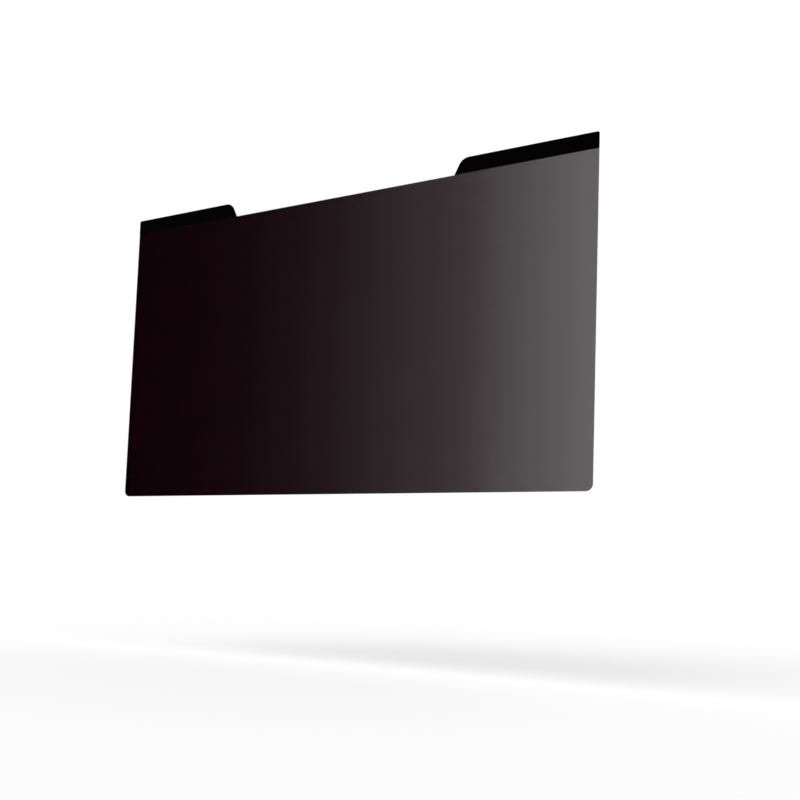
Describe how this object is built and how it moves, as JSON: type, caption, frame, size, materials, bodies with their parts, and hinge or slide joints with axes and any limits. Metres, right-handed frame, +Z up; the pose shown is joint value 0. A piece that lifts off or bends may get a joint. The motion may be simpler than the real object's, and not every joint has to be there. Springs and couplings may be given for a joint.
{
  "type": "monitor privacy filter",
  "caption": "Thin dark louvred sheet that covers a monitor's screen so that it can be read only from in front, hung by magnets on tabs at its top corners.",
  "frame": {"origin": "middle of the bottom edge of the sheet, halfway through the thickness of the whole filter", "axes": "+X to the viewer's right, +Y from the viewer towards the monitor, +Z up towards the tabs"},
  "size_m": [0.531, 0.0016, 0.3142],
  "materials": {
    "louvre_film": "satin louvre film, clear grey square on and dark from the side",
    "black_cover": "opaque black, fine satin",
    "flexible_magnet": "dark brown-black ferrite rubber, matt"
  },
  "bodies": {
    "root": {"privacy_sheet": "louvre_film", "left_tab_cover": "black_cover", "right_tab_cover": "black_cover", "left_magnet_strip": "flexible_magnet", "right_magnet_strip": "flexible_magnet"}
  },
  "joints": []
}
